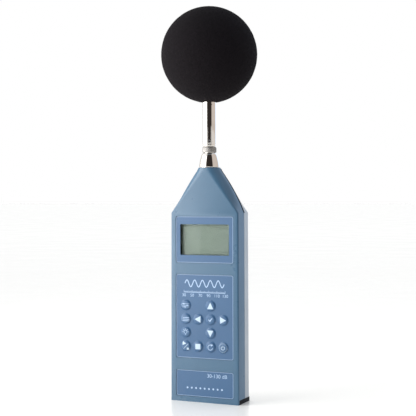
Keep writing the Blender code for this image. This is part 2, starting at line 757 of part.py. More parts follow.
def case_screws():
    """Cross-head screws that enter from the rear and hold the shells together."""
    names = [f"{row}_{side}" for side in ("left", "right") for row in SCREW_ROWS]
    for name, (x, z) in zip(names, screw_places()):
        head_y = REAR_Y - 0.0004
        outline = [
            (SCREW_RADIUS, 0.0),
            (SCREW_RADIUS, SCREW_LENGTH - 0.0015),
            (SCREW_HEAD_RADIUS, SCREW_LENGTH - 0.0012),
            (SCREW_HEAD_RADIUS, SCREW_LENGTH),
        ]
        place = (x, head_y - SCREW_LENGTH, z)
        screw = turned("case_screw_" + name, outline, "steel", place, FACING_REAR, SMALL_STEPS)
        cross = block_cutter(
            "cross_cutter_" + name,
            ((x - 0.0013, x + 0.0013), (head_y - 0.0007, head_y + 0.001), (z - 0.0003, z + 0.0003)),
        )
        upright = block_cutter(
            "cross_upright_cutter_" + name,
            ((x - 0.0003, x + 0.0003), (head_y - 0.0007, head_y + 0.001), (z - 0.0013, z + 0.0013)),
        )
        cut(screw, cross, upright)


def tripod_insert():
    depth = REAR_Y - GAP - TRIPOD_FRONT_Y
    outline = [
        (TRIPOD_INSERT_RADIUS, 0.0),
        (TRIPOD_INSERT_RADIUS, depth),
        (TRIPOD_BORE_RADIUS, depth),
        (TRIPOD_BORE_RADIUS, 0.0),
    ]
    turned("tripod_insert", outline, "brass", (0, TRIPOD_FRONT_Y, TRIPOD_Z), FACING_REAR, 24, tube=True)


def nose_fittings():
    """Chromed cone on the nose, its nut inside the case, and the socket for the preamplifier."""
    outline = [
        (CONE_SHANK_RADIUS, CONE_SHANK_BOTTOM_Z),
        (CONE_SHANK_RADIUS, CONE_OUTLINE[0][1]),
        *CONE_OUTLINE,
        (SOCKET_BORE_RADIUS, CONE_OUTLINE[-1][1]),
        (SOCKET_BORE_RADIUS, SOCKET_FLOOR_Z),
        (0.0030, SOCKET_FLOOR_Z),
        (0.0030, CONE_SHANK_BOTTOM_Z),
    ]
    turned("nose_cone", outline, "chrome", tube=True)
    bm = bmesh.new()
    nut_z = (NOSE_TOP_Z - WALL - 0.0031, NOSE_TOP_Z - WALL - 0.0001)
    spin(bm, solid_profile((NUT_CORNER_RADIUS, nut_z[0]), (NUT_CORNER_RADIUS, nut_z[1])), 6)
    nut = add_object("nose_nut", bm, "brass")
    bm = bmesh.new()
    spin(bm, solid_profile((CONE_SHANK_RADIUS + 0.0001, 0.20), (CONE_SHANK_RADIUS + 0.0001, 0.23)))
    cut(nut, add_cutter("nut_cutter", bm))
    outline = [(0.0046, SOCKET_FLOOR_Z + 0.0002), (0.0046, SOCKET_FLOOR_Z + 0.0020)]
    insulator = turned("preamp_socket", outline, "chip_black", steps=24)
    bm = bmesh.new()
    spin(bm, solid_profile((0.0009, 0.22), (0.0009, 0.23)), 12)
    cut(insulator, add_cutter("socket_pin_cutter", bm))
    outline = [(0.0007, SOCKET_FLOOR_Z - 0.0040), (0.0007, SOCKET_FLOOR_Z + 0.0038)]
    turned("socket_pin", outline, "brass", steps=12)


def locking_ring():
    """Ring that clamps the preamplifier, its rim cut with straight grooves for grip."""
    inner = SPIGOT_RADIUS + GAP
    low, high = RING_Z
    rim = []
    for i in range(2 * RING_KNURLS):
        angle = math.pi * i / RING_KNURLS
        radius = RING_RADIUS - (0.00035 if i % 2 else 0.0)
        rim.append((radius * math.cos(angle), radius * math.sin(angle)))
    shoulder = [(x * 0.955, y * 0.955) for x, y in rim]
    bm = bmesh.new()
    layers = ((shoulder, low), (rim, low + 0.0004), (rim, high - 0.0004), (shoulder, high))
    loft(bm, [[(x, y, z) for x, y in outline] for outline, z in layers])
    ring = add_object("locking_ring", bm, "chrome")
    bm = bmesh.new()
    spin(bm, solid_profile((inner, 0.23), (inner, 0.24)), 24)
    cut(ring, add_cutter("ring_cutter", bm))


def radial_place(feature):
    """Location and rotation that stand a turned piece out of the tube, away from its axis."""
    return (0, 0, feature["z"]), (math.pi / 2, 0, feature["turn"])


def radial_cutter(name, feature, clearance):
    bm = bmesh.new()
    radius = feature["radius"] + clearance
    spin(bm, solid_profile((radius, TUBE_RADIUS - 2 * TUBE_WALL), (radius, TUBE_RADIUS + TUBE_WALL)), 12)
    return add_cutter(name, bm, *radial_place(feature))


def preamplifier():
    """Chromed tube with a plug at its lower end, its board and its contact."""
    inner = TUBE_RADIUS - TUBE_WALL
    plug_bore = 0.0012
    outline = [
        (SPIGOT_RADIUS, SPIGOT_BOTTOM_Z),
        (SPIGOT_RADIUS, FLANGE_Z[0]),
        (FLANGE_RADIUS, FLANGE_Z[0]),
        (FLANGE_RADIUS, FLANGE_Z[1] - 0.0003),
        (FLANGE_RADIUS - 0.0003, FLANGE_Z[1]),
        (TUBE_RADIUS, FLANGE_Z[1] + 0.0003),
        (TUBE_RADIUS, TUBE_TOP_Z),
        (inner, TUBE_TOP_Z),
        (inner, FLANGE_Z[1] + 0.0020),
        (plug_bore, FLANGE_Z[1] + 0.0020),
        (plug_bore, SPIGOT_BOTTOM_Z),
    ]
    tube = turned("preamp_tube", outline, "chrome", tube=True)
    cut(tube, radial_cutter("grub_cutter", GRUB_SCREW, GAP / 2), radial_cutter("vent_cutter", VENT_HOLE, 0.0))
    radius = GRUB_SCREW["radius"]
    reach = TUBE_RADIUS - 0.0002
    points = [(radius, inner - 0.0006), (radius, reach - 0.0001), (radius - 0.0001, reach)]
    place, rotation = radial_place(GRUB_SCREW)
    screw = turned("preamp_screw", points, "steel", place, rotation, 12)
    x = reach * math.sin(GRUB_SCREW["turn"])
    y = -reach * math.cos(GRUB_SCREW["turn"])
    bm = bmesh.new()
    size = (0.0006, 0.0007, 0.003, 1)
    turn = Matrix.Rotation(GRUB_SCREW["turn"], 4, "Z")
    slot = Matrix.Translation((x, y, GRUB_SCREW["z"])) @ turn @ Matrix.Diagonal(size)
    bmesh.ops.create_cube(bm, size=1, matrix=slot)
    cut(screw, add_cutter("grub_slot_cutter", bm))
    block("preamp_board", (-0.0040, 0.0040), (-0.0005, 0.0005), (0.2450, 0.3120), "board_green")
    outline = [(0.0009, SPIGOT_BOTTOM_Z + 0.0006), (0.0009, 0.2445)]
    turned("preamp_contact", outline, "brass", steps=12)


def microphone():
    """Half-inch capsule: body, insulator with its pin, backplate, diaphragm and slotted grid."""
    inner = 0.0056
    outline = [
        (TUBE_RADIUS, TUBE_TOP_Z + GAP),
        (TUBE_RADIUS, CAPSULE_TOP_Z),
        (inner, CAPSULE_TOP_Z),
        (inner, TUBE_TOP_Z + GAP),
    ]
    turned("mic_capsule", outline, "chrome", tube=True)
    outline = [(0.0009, 0.3130), (0.0009, 0.3185), (inner - GAP, 0.3185), (inner - GAP, 0.3212)]
    turned("mic_insulator", outline, "insulator_white", steps=24)
    turned("mic_backplate", [(0.0042, 0.3215), (0.0042, 0.3248)], "brass", steps=24)
    turned("mic_diaphragm", [(inner - GAP, 0.3252), (inner - GAP, 0.3255)], "steel", steps=24)
    low, high = GRID_Z
    outline = [
        (GRID_RADIUS, low),
        (GRID_RADIUS, high - 0.0008),
        (GRID_RADIUS - 0.0008, high),
        (0.0, high),
        (0.0, high - 0.0008),
        (inner, high - 0.0008),
        (inner, low),
    ]
    bm = bmesh.new()
    spin(bm, (*outline, outline[0]), 32)
    grid = add_object("mic_grid", bm, "steel")
    bm = bmesh.new()
    for i in range(GRID_SLOTS):
        turn = Matrix.Rotation(2 * math.pi * i / GRID_SLOTS, 4, "Z")
        slot = Matrix.Translation((0.0037, 0, high)) @ Matrix.Diagonal((0.0030, 0.0010, 0.004, 1))
        bmesh.ops.create_cube(bm, size=1, matrix=turn @ slot)
    cut(grid, add_cutter("grid_slot_cutter", bm))


def windshield():
    """Foam ball with a blind bore from below for the microphone."""
    start = math.asin(BALL_BORE_RADIUS / BALL_RADIUS)
    quarter = math.pi / 2
    steps = 8
    angles = [blend(start, quarter, i / steps) for i in range(steps)]
    angles += [blend(quarter, math.pi, i / steps) for i in range(steps)]
    outline = [(BALL_BORE_RADIUS, BALL_BORE_TOP_Z)]
    for angle in angles:
        outline.append((BALL_RADIUS * math.sin(angle), BALL_CENTRE_Z - BALL_RADIUS * math.cos(angle)))
    bm = bmesh.new()
    spin(bm, ((0.0, BALL_BORE_TOP_Z), *outline, (0.0, BALL_CENTRE_Z + BALL_RADIUS)), 36)
    add_object("windshield", bm, "foam")


clear_scene()
MATERIALS = make_materials()
cavity_tool, nose_tool, key_tool, window_tool = shared_cutters()
front_shell(cavity_tool, nose_tool, key_tool)
rear_shell(cavity_tool, nose_tool)
battery_door()
door_pins()
end_panel()
sockets()
overlays(key_tool, window_tool)
display(window_tool)
keys()
electronics()
battery_pack()
case_screws()
tripod_insert()
nose_fittings()
locking_ring()
preamplifier()
microphone()
windshield()
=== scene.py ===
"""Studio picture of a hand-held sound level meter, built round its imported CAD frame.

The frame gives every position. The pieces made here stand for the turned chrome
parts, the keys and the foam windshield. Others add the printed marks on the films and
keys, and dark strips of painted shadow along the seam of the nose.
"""

import math

import bmesh
import bpy
from mathutils import Matrix, Vector, noise
from mathutils.bvhtree import BVHTree


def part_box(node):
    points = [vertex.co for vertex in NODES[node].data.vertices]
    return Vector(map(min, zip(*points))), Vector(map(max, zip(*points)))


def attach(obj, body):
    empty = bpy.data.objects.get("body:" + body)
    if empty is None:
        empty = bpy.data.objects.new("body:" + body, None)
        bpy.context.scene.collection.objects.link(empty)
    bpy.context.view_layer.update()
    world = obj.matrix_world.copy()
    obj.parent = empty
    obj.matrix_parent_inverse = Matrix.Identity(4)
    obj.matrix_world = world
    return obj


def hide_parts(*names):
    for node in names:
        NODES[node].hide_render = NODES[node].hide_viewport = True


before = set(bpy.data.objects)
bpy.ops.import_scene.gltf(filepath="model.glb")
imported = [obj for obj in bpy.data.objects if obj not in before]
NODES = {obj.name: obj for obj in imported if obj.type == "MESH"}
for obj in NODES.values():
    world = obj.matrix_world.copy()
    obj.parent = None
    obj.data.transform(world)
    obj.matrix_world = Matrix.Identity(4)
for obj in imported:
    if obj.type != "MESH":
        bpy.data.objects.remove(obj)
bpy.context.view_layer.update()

MM = 0.001
SMOOTH_ANGLE = 32
CAD_WELD = 0.002 * MM
MESH_WELD = 1e-7


# ---------------------------------------------------------------- materials


class Graph:
    """Small helper that adds nodes to one material."""

    def __init__(self, material):
        self.tree = material.node_tree
        self.shader = self.tree.nodes["Principled BSDF"]
        self.place = self.tree.nodes.new("ShaderNodeTexCoord").outputs["Object"]

    def node(self, kind, inputs=None, **settings):
        node = self.tree.nodes.new(kind)
        for key, value in settings.items():
            setattr(node, key, value)
        for key, value in (inputs or {}).items():
            if isinstance(value, bpy.types.NodeSocket):
                self.tree.links.new(value, node.inputs[key])
            else:
                node.inputs[key].default_value = value
        return node

    def noise(self, scale, detail=2.0, roughness=0.5, stretch=(1, 1, 1)):
        vector = self.place
        if stretch != (1, 1, 1):
            vector = self.node("ShaderNodeMapping", {"Vector": vector, "Scale": stretch}).outputs[0]
        inputs = {"Vector": vector, "Scale": scale, "Detail": detail, "Roughness": roughness}
        return self.node("ShaderNodeTexNoise", inputs).outputs["Fac"]

    def cells(self, scale, feature="F1", randomness=1.0):
        inputs = {"Vector": self.place, "Scale": scale, "Randomness": randomness}
        return self.node("ShaderNodeTexVoronoi", inputs, feature=feature).outputs["Distance"]

    def span(self, value, low, high, to_low, to_high):
        inputs = {"Value": value, "From Min": low, "From Max": high, "To Min": to_low, "To Max": to_high}
        return self.node("ShaderNodeMapRange", inputs).outputs["Result"]

    def mix(self, share, first, second):
        node = self.node("ShaderNodeMix", {"Factor": share}, data_type="RGBA")
        for socket, value in zip((node.inputs[6], node.inputs[7]), (first, second)):
            if isinstance(value, bpy.types.NodeSocket):
                self.tree.links.new(value, socket)
            else:
                socket.default_value = (*value, 1.0)
        return node.outputs[2]

    def maths(self, operation, first, second):
        return self.node("ShaderNodeMath", {0: first, 1: second}, operation=operation).outputs[0]

    def bump(self, height, distance, strength=1.0, under=None):
        inputs = {"Height": height, "Distance": distance, "Strength": strength}
        if under is not None:
            inputs["Normal"] = under
        return self.node("ShaderNodeBump", inputs).outputs["Normal"]

    def feed(self, socket, value):
        self.tree.links.new(value, self.shader.inputs[socket])


def material(name, colour, roughness, metallic=0.0, **sockets):
    made = bpy.data.materials.new(name)
    made.use_nodes = True
    graph = Graph(made)
    graph.shader.inputs["Base Color"].default_value = (*colour, 1.0)
    graph.shader.inputs["Roughness"].default_value = roughness
    graph.shader.inputs["Metallic"].default_value = metallic
    for key, value in sockets.items():
        graph.shader.inputs[key.replace("_", " ")].default_value = value
    return made, graph


def scaled(colour, factor):
    return tuple(min(1.0, c * factor) for c in colour)


def moulded(name, colour, roughness, grain=1500, depth=0.018, tint=0.08, **sockets):
    """Moulded plastic: fine spark-eroded grain, slow drift of shade, uneven gloss."""
    made, g = material(name, colour, roughness, **sockets)
    drift = g.noise(22, 3)
    speck = g.noise(grain, 2)
    pale = scaled(colour, 1 + tint)
    shade = g.mix(g.span(drift, 0.3, 0.7, 0, 1), scaled(colour, 1 - tint), pale)
    fleck = g.mix(g.span(speck, 0.35, 0.65, 0, 1), scaled(colour, 1 - 0.6 * tint), pale)
    g.feed("Base Color", g.mix(0.35, shade, fleck))
    rub = g.noise(60, 4, 0.6)
    g.feed("Roughness", g.span(rub, 0.25, 0.75, roughness - 0.06, roughness + 0.06))
    fine = g.bump(speck, depth * MM, 0.6)
    coarse = g.noise(grain / 4, 2)
    g.feed("Normal", g.bump(coarse, 2 * depth * MM, 0.35, fine))
    return made


def polished(name, colour, roughness, lines, **sockets):
    """Plated or turned metal: faint lathe lines round the axis, smudges in the gloss."""
    made, g = material(name, colour, roughness, 1.0, **sockets)
    smudge = g.noise(90, 4, 0.6)
    tone = g.mix(g.span(smudge, 0.3, 0.7, 0, 1), scaled(colour, 0.95), scaled(colour, 1.03))
    g.feed("Base Color", tone)
    g.feed("Roughness", g.span(smudge, 0.3, 0.7, roughness * 0.7, roughness * 1.5))
    turned_lines = g.noise(1.0, 2, 0.6, stretch=(12, 12, 5200))
    g.feed("Normal", g.bump(turned_lines, lines * MM, 0.5))
    return made


CASE_COLOUR = (0.055, 0.126, 0.205)
FILM_COLOUR = (0.040, 0.108, 0.220)

LOOKS = {
    "case": moulded("case_plastic", CASE_COLOUR, 0.31),
    "rear": moulded("rear_plastic", (0.44, 0.46, 0.48), 0.38),
    "film": moulded("film_polyester", FILM_COLOUR, 0.36, grain=2600, depth=0.006, tint=0.04),
    "key": moulded("key_dome", FILM_COLOUR, 0.34, grain=2600, depth=0.005, tint=0.04),
    "print": moulded("print_ink", (0.40, 0.53, 0.72), 0.45, grain=3200, depth=0.004, tint=0.03),
    "symbol": moulded("symbol_ink", (0.50, 0.62, 0.74), 0.45, grain=3200, depth=0.004, tint=0.03),
    "border": moulded("print_border", (0.27, 0.38, 0.56), 0.40, grain=3200, depth=0.004, tint=0.05),
    "black": moulded("panel_black", (0.008, 0.008, 0.010), 0.72, Specular_IOR_Level=0.2),
    # Near-black strips along the nose seam: painted shadow where the seam between the shells lies in
    # shade.
    "painted_seam_shadow": moulded("painted_seam_shadow_black", (0.010, 0.012, 0.016), 0.70, Specular_IOR_Level=0.2),
    "chip": moulded("moulded_black", (0.010, 0.010, 0.011), 0.42, grain=2200, depth=0.010),
    "chrome": polished("chrome_plate", (0.93, 0.89, 0.84), 0.035, 0.001),
    "satin": polished("satin_chrome", (0.38, 0.365, 0.35), 0.55, 0.001),
    "steel": polished("machined_steel", (0.55, 0.55, 0.56), 0.28, 0.006),
    "brass": polished("turned_brass", (0.70, 0.50, 0.22), 0.26, 0.006),
    "white": moulded("white_ceramic", (0.74, 0.73, 0.69), 0.40),
    "rubber": moulded("grey_rubber", (0.07, 0.075, 0.08), 0.70),
}


def foam_material():
    made, g = material("open_cell_foam", (0.012, 0.0115, 0.013), 0.92)
    g.shader.inputs["Specular IOR Level"].default_value = 0.10
    pores = g.cells(1500)
    clumps = g.noise(420, 3, 0.6)
    depth = g.maths("MULTIPLY", g.span(pores, 0.0, 0.55, 0, 1), g.span(clumps, 0.2, 0.8, 0.6, 1))
    # Base colour goes darker into each pore: painted shade in the pores; the clumps vary the tone at
    # random.
    g.feed("Base Color", g.mix(depth, (0.0004, 0.0003, 0.0004), (0.0105, 0.0082, 0.0102)))
    g.feed("Roughness", g.span(clumps, 0.2, 0.8, 0.85, 1.0))
    g.feed("Normal", g.bump(depth, 0.35 * MM, 0.9))
    return made


def board_material():
    made, g = material("circuit_board", (0.015, 0.10, 0.045), 0.38)
    traces = g.cells(900, "DISTANCE_TO_EDGE", 0.3)
    between = g.span(traces, 0.04, 0.10, 0, 1)
    g.feed("Base Color", g.mix(between, (0.05, 0.20, 0.07), (0.012, 0.085, 0.04)))
    g.feed("Normal", g.bump(traces, 0.02 * MM, 0.5))
    return made


def wrap_material():
    made, g = material("cell_sleeve", (0.05, 0.055, 0.065), 0.28)
    rub = g.noise(150, 4, 0.6)
    wear = g.span(rub, 0.3, 0.7, 0, 1)
    g.feed("Base Color", g.mix(wear, (0.040, 0.045, 0.055), (0.065, 0.070, 0.080)))
    g.feed("Normal", g.bump(rub, 0.02 * MM, 0.4))
    return made


def lcd_material():
    """Reflective display film: pale green-grey with a slow drift and a fine cell structure."""
    made, g = material("lcd_polariser", (0.33, 0.39, 0.34), 0.30)
    drift = g.noise(28, 2)
    tone = g.mix(g.span(drift, 0.3, 0.7, 0, 1), (0.196, 0.240, 0.208), (0.186, 0.236, 0.188))
    rows = g.noise(1.0, 1, 0.5, stretch=(2400, 300, 2400))
    g.feed("Base Color", g.mix(g.span(rows, 0.3, 0.7, 0, 0.12), tone, (0.155, 0.195, 0.165)))
    g.feed("Roughness", g.span(g.noise(70, 3), 0.3, 0.7, 0.40, 0.44))
    g.feed("Normal", g.bump(rows, 0.002 * MM, 0.5))
    return made


def window_material():
    made, g = material("window_acrylic", (0.97, 1.0, 0.985), 0.04, IOR=1.12)
    g.shader.inputs["Transmission Weight"].default_value = 1.0
    wipe = g.noise(55, 4, 0.6, stretch=(1, 1, 3))
    g.feed("Roughness", g.span(wipe, 0.3, 0.7, 0.02, 0.04))
    g.feed("Normal", g.bump(wipe, 0.002 * MM, 0.3))
    return made


LOOKS["foam"] = foam_material()
LOOKS["board"] = board_material()
LOOKS["wrap"] = wrap_material()
LOOKS["lcd"] = lcd_material()
LOOKS["window"] = window_material()
LOOKS["light"] = moulded("light_panel", (0.78, 0.78, 0.72), 0.45)

NODE_LOOKS = {
    "case": ["front_shell"],
    "rear": ["rear_shell", "battery_door"],
    "film": ["display_overlay", "keypad_overlay", "lower_overlay"],
    "black": ["end_panel"],
    "chip": ["lcd_bezel", "battery_tray", "io_socket", "dc_jack", "processor_chip", "preamp_socket"],
    "steel": [
        "case_screw_lower_left", "case_screw_lower_right", "case_screw_upper_left",
        "case_screw_upper_right", "door_pin_left", "door_pin_right", "analog_shield",
        "battery_spring", "battery_plate", "battery_bridge", "preamp_screw", "mic_diaphragm",
        "mic_grid",
    ],
    "chrome": ["output_jack"],
    "brass": ["tripod_insert", "nose_nut", "socket_pin", "preamp_contact", "mic_backplate"],
    "white": ["mic_insulator"],
    "rubber": ["dome_sheet"],
    "board": ["main_board", "preamp_board"],
    "wrap": ["battery_1", "battery_2", "battery_3", "battery_4"],
    "lcd": ["lcd_glass"],
    "window": ["display_window"],
    "light": ["lcd_backlight"],
}


def smooth_modifier():
    """Node group that welds a CAD mesh and shades its shallow edges smooth."""
    group = bpy.data.node_groups.new("smooth_shallow_edges", "GeometryNodeTree")
    group.interface.new_socket("Geometry", in_out="INPUT", socket_type="NodeSocketGeometry")
    group.interface.new_socket("Geometry", in_out="OUTPUT", socket_type="NodeSocketGeometry")
    nodes, links = group.nodes, group.links
    start = nodes.new("NodeGroupInput")
    bare = nodes.new("GeometryNodeRemoveAttribute")
    bare.inputs["Name"].default_value = "custom_normal"
    weld = nodes.new("GeometryNodeMergeByDistance")
    weld.inputs["Distance"].default_value = CAD_WELD
    faces = nodes.new("GeometryNodeSetShadeSmooth")
    faces.domain = "FACE"
    edges = nodes.new("GeometryNodeSetShadeSmooth")
    edges.domain = "EDGE"
    angle = nodes.new("GeometryNodeInputMeshEdgeAngle")
    shallow = nodes.new("FunctionNodeCompare")
    shallow.data_type = "FLOAT"
    shallow.operation = "LESS_EQUAL"
    shallow.inputs[1].default_value = math.radians(SMOOTH_ANGLE)
    end = nodes.new("NodeGroupOutput")
    links.new(start.outputs[0], bare.inputs["Geometry"])
    links.new(bare.outputs[0], weld.inputs["Geometry"])
    links.new(weld.outputs[0], faces.inputs["Geometry"])
    links.new(faces.outputs[0], edges.inputs["Geometry"])
    links.new(angle.outputs["Unsigned Angle"], shallow.inputs[0])
    links.new(shallow.outputs["Result"], edges.inputs["Shade Smooth"])
    links.new(edges.outputs[0], end.inputs[0])
    return group


SMOOTH = smooth_modifier()
for look, names in NODE_LOOKS.items():
    for name in names:
        node = NODES[name]
        node.data.materials.clear()
        node.data.materials.append(LOOKS[look])
        node.modifiers.new("smooth", "NODES").node_group = SMOOTH


# ---------------------------------------------------------------- mesh helpers


def add_object(name, bm, look, body, smooth_angle=SMOOTH_ANGLE):
    """Turns a mesh in the making into a piece that rides a body."""
    bmesh.ops.remove_doubles(bm, verts=bm.verts, dist=MESH_WELD)
    bmesh.ops.recalc_face_normals(bm, faces=bm.faces)
    mesh = bpy.data.meshes.new(name)
    bm.to_mesh(mesh)
    bm.free()
    mesh.shade_smooth()
    mesh.set_sharp_from_angle(angle=math.radians(smooth_angle))
    mesh.materials.append(LOOKS[look])
    obj = bpy.data.objects.new(name, mesh)
    bpy.context.scene.collection.objects.link(obj)
    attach(obj, body)
    return obj


def spin(bm, profile, steps, matrix=Matrix(), rim=None):
    """Turns a closed outline of (radius, height) points about Z. rim changes the radius by angle."""
    rings = []
    for radius, height in profile:
        if radius == 0:
            rings.append([bm.verts.new(matrix @ Vector((0, 0, height)))])
            continue
        ring = []
        for i in range(steps):
            angle = 2 * math.pi * i / steps
            reach = radius + (rim(angle, radius, height) if rim else 0.0)
            point = Vector((reach * math.cos(angle), reach * math.sin(angle), height))
            ring.append(bm.verts.new(matrix @ point))
        rings.append(ring)
    for lower, upper in zip(rings, rings[1:] + rings[:1]):
        if len(lower) + len(upper) == 2:
            continue
        for i in range(steps):
            j = (i + 1) % steps
            places = ((lower, i), (lower, j), (upper, j), (upper, i))
            corners = [ring[place % len(ring)] for ring, place in places]
            bm.faces.new(list(dict.fromkeys(corners)))


EDGE_ROUND = 0.12 * MM
ROUND_STEPS = 3
SIDE_SHARE = 0.45
NEARLY_STRAIGHT = math.radians(172)


def rounded(profile):
    """Rounds each corner of a closed outline, by no more than a share of its shorter side."""
    points = []
    total = len(profile)
    for i, here in enumerate(profile):
        here = Vector(here)
        before = Vector(profile[i - 1]) - here
        after = Vector(profile[(i + 1) % total]) - here
        room = min(before.length, after.length) * SIDE_SHARE
        turn = before.angle(after, math.pi) if before.length and after.length else math.pi
        reach = min(EDGE_ROUND, room)
        if here.x == 0 or turn > NEARLY_STRAIGHT or reach < MESH_WELD:
            points.append(tuple(here))
            continue
        first = here + before.normalized() * reach
        last = here + after.normalized() * reach
        for step in range(ROUND_STEPS + 1):
            t = step / ROUND_STEPS
            spot = first * (1 - t) ** 2 + here * 2 * t * (1 - t) + last * t**2
            points.append(tuple(spot))
    return points


def turned_piece(name, profile, steps, look, body, stands_for, rim=None):
    bm = bmesh.new()
    spin(bm, rounded(profile), steps, rim=rim)
    obj = add_object(name, bm, look, body)
    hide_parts(stands_for)
    return obj


def settle(obj):
    """Applies an object's modifiers to its mesh."""
    graph = bpy.context.evaluated_depsgraph_get()
    mesh = bpy.data.meshes.new_from_object(obj.evaluated_get(graph), depsgraph=graph)
    obj.modifiers.clear()
    obj.data = mesh


def drill(name, target, radius, depth, steps, place):
    """Cuts a round hole into a piece."""
    bm = bmesh.new()
    bmesh.ops.create_cone(
        bm, cap_ends=True, segments=steps, radius1=radius, radius2=radius, depth=depth, matrix=place
    )
    mesh = bpy.data.meshes.new(name)
    bm.to_mesh(mesh)
    bm.free()
    tool = bpy.data.objects.new(name, mesh)
    bpy.context.scene.collection.objects.link(tool)
    cut = target.modifiers.new(name, "BOOLEAN")
    cut.object = tool
    cut.operation = "DIFFERENCE"
    cut.solver = "EXACT"
    settle(target)
    bpy.data.objects.remove(tool)


# ---------------------------------------------------------------- turned chrome parts

TURNED_STEPS = 96
cone_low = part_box("nose_cone")[0]
ring_low, ring_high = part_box("locking_ring")
tube_low, tube_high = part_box("preamp_tube")
capsule_low, capsule_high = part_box("mic_capsule")
ball_low, ball_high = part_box("windshield")
case_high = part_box("front_shell")[1]
nose_top = case_high.z

# Radii and heights above the nose of the cone's outer face, in millimetres.
CONE = (
    (9.50, 0.3), (9.62, 0.7), (9.60, 2.0), (9.42, 3.6), (9.10, 5.4), (8.75, 7.0),
    (8.40, 8.4), (8.00, 9.9), (7.60, 11.3), (7.15, 12.4), (6.55, 13.25), (6.00, 13.6),
)
SHANK = 5.9 * MM
SOCKET_BORE = 5.0 * MM
SOCKET_FLOOR = nose_top + 5.8 * MM
WIRE_BORE = 3.0 * MM


def cone_profile():
    outline = [(SHANK, cone_low.z), (SHANK, nose_top + CONE[0][1] * MM)]
    outline += [(r * MM, nose_top + z * MM) for r, z in CONE]
    outline += [(SOCKET_BORE, outline[-1][1]), (SOCKET_BORE, SOCKET_FLOOR)]
    outline += [(WIRE_BORE, SOCKET_FLOOR), (WIRE_BORE, cone_low.z)]
    return outline


turned_piece("nose_cone_chrome", cone_profile(), TURNED_STEPS, "chrome", "case", "nose_cone")

RING_INNER = 4.9 * MM
RING_END = 6.05 * MM
RING_SHOULDER = 6.35 * MM
RING_OUTER = 6.6 * MM
KNURL_TEETH = 48
KNURL_STEPS = 8 * KNURL_TEETH
KNURL_DEPTH = 0.06 * MM
KNURLED_FROM = 6.2 * MM


def ring_profile():
    lower = [
        (RING_INNER, 0.0), (RING_END, 0.0), (RING_SHOULDER, 0.5 * MM), (RING_OUTER, 0.9 * MM),
    ]
    outline = [(radius, ring_low.z + height) for radius, height in lower]
    return outline + [(radius, ring_high.z - height) for radius, height in reversed(lower)]


def knurl(angle, radius, height):
    if radius < KNURLED_FROM:
        return 0.0
    return KNURL_DEPTH / 2 * (math.cos(KNURL_TEETH * angle) - 1)


turned_piece(
    "locking_ring_knurled", ring_profile(), KNURL_STEPS,
    "satin", "locking_ring", "locking_ring", rim=knurl,
)

TUBE = 6.35 * MM
TUBE_BORE = 5.55 * MM
PLUG = 4.6 * MM
PLUG_BORE = 1.2 * MM
FLANGE_FOOT = 5.75 * MM
FLANGE = 6.3 * MM
NECK = 6.0 * MM
flange_bottom = ring_high.z + 0.3 * MM
flange_top = ring_high.z + 2.1 * MM
tube_floor = flange_top + 2.0 * MM
tube_outline = [
    (PLUG, tube_low.z), (PLUG, flange_bottom), (FLANGE_FOOT, flange_bottom),
    (FLANGE, flange_bottom + 0.8 * MM), (FLANGE, flange_top - 0.5 * MM),
    (NECK, flange_top - 0.3 * MM), (NECK, flange_top + 0.2 * MM),
    (TUBE, flange_top + 0.45 * MM), (TUBE, tube_high.z), (TUBE_BORE, tube_high.z),
    (TUBE_BORE, tube_floor), (PLUG_BORE, tube_floor), (PLUG_BORE, tube_low.z),
]
tube = turned_piece(
    "preamp_tube_chrome", tube_outline, TURNED_STEPS, "chrome", "preamplifier", "preamp_tube"
)

GRUB_TURN = 24
GRUB_RADIUS = 1.15 * MM
VENT_TURN = 43
VENT_RADIUS = 0.5 * MM
VENT_ABOVE = 33.6 * MM
HOLE_DEPTH = 3 * MM
HOLE_STEPS = 32


def tube_hole(name, turn_degrees, z, radius):
    """Drills a hole through the tube's wall, at an angle from its front."""
    angle = math.radians(turn_degrees)
    out = Vector((math.sin(angle), -math.cos(angle), 0))
    centre = Vector((out.x * TUBE, out.y * TUBE, z))
    place = Matrix.Translation(centre) @ out.to_track_quat("Z", "Y").to_matrix().to_4x4()
    drill(name, tube, radius, HOLE_DEPTH, HOLE_STEPS, place)


screw_low, screw_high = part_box("preamp_screw")
screw_z = (screw_low.z + screw_high.z) / 2
tube_hole("grub_drill", GRUB_TURN, screw_z, GRUB_RADIUS)
tube_hole("vent_drill", VENT_TURN, screw_z + VENT_ABOVE, VENT_RADIUS)

CAPSULE_BORE = 5.6 * MM
CAPSULE_GROOVE = 6.1 * MM
capsule_outline = [
    (CAPSULE_BORE, capsule_low.z), (TUBE, capsule_low.z), (TUBE, capsule_low.z + 1.6 * MM),
    (CAPSULE_GROOVE, capsule_low.z + 1.9 * MM), (TUBE, capsule_low.z + 2.2 * MM),
    (TUBE, capsule_high.z), (CAPSULE_BORE, capsule_high.z),
]
turned_piece(
    "mic_capsule_chrome", capsule_outline, TURNED_STEPS, "chrome", "preamplifier", "mic_capsule"
)


# ---------------------------------------------------------------- keys

KEY_ROOM = 5.45 * MM
KEY_EDGE = KEY_ROOM - 0.07 * MM
PLATEAU = 3.5 * MM
film_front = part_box("keypad_overlay")[0].y
key_low, key_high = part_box("key_ok")
KEY_RISE = film_front - key_low.y


def dome_height(radius):
    """Height of a key's top above the film, at a distance from its centre."""
    share = min(max((radius - PLATEAU) / (KEY_EDGE - PLATEAU), 0.0), 1.0)
    crown = 1 - 0.10 * min(radius / PLATEAU, 1.0) ** 2
    return KEY_RISE * (crown * (1 - share * share * (3 - 2 * share)) if share < 1 else 0.0)


def key_centre(name):
    a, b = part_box(name)
    return (a.x + b.x) / 2, (a.z + b.z) / 2


KEY_STEM = 1.6 * MM
KEY_FLANGE = 5.9 * MM
KEY_STEPS = 64
DOME_STEPS = 16


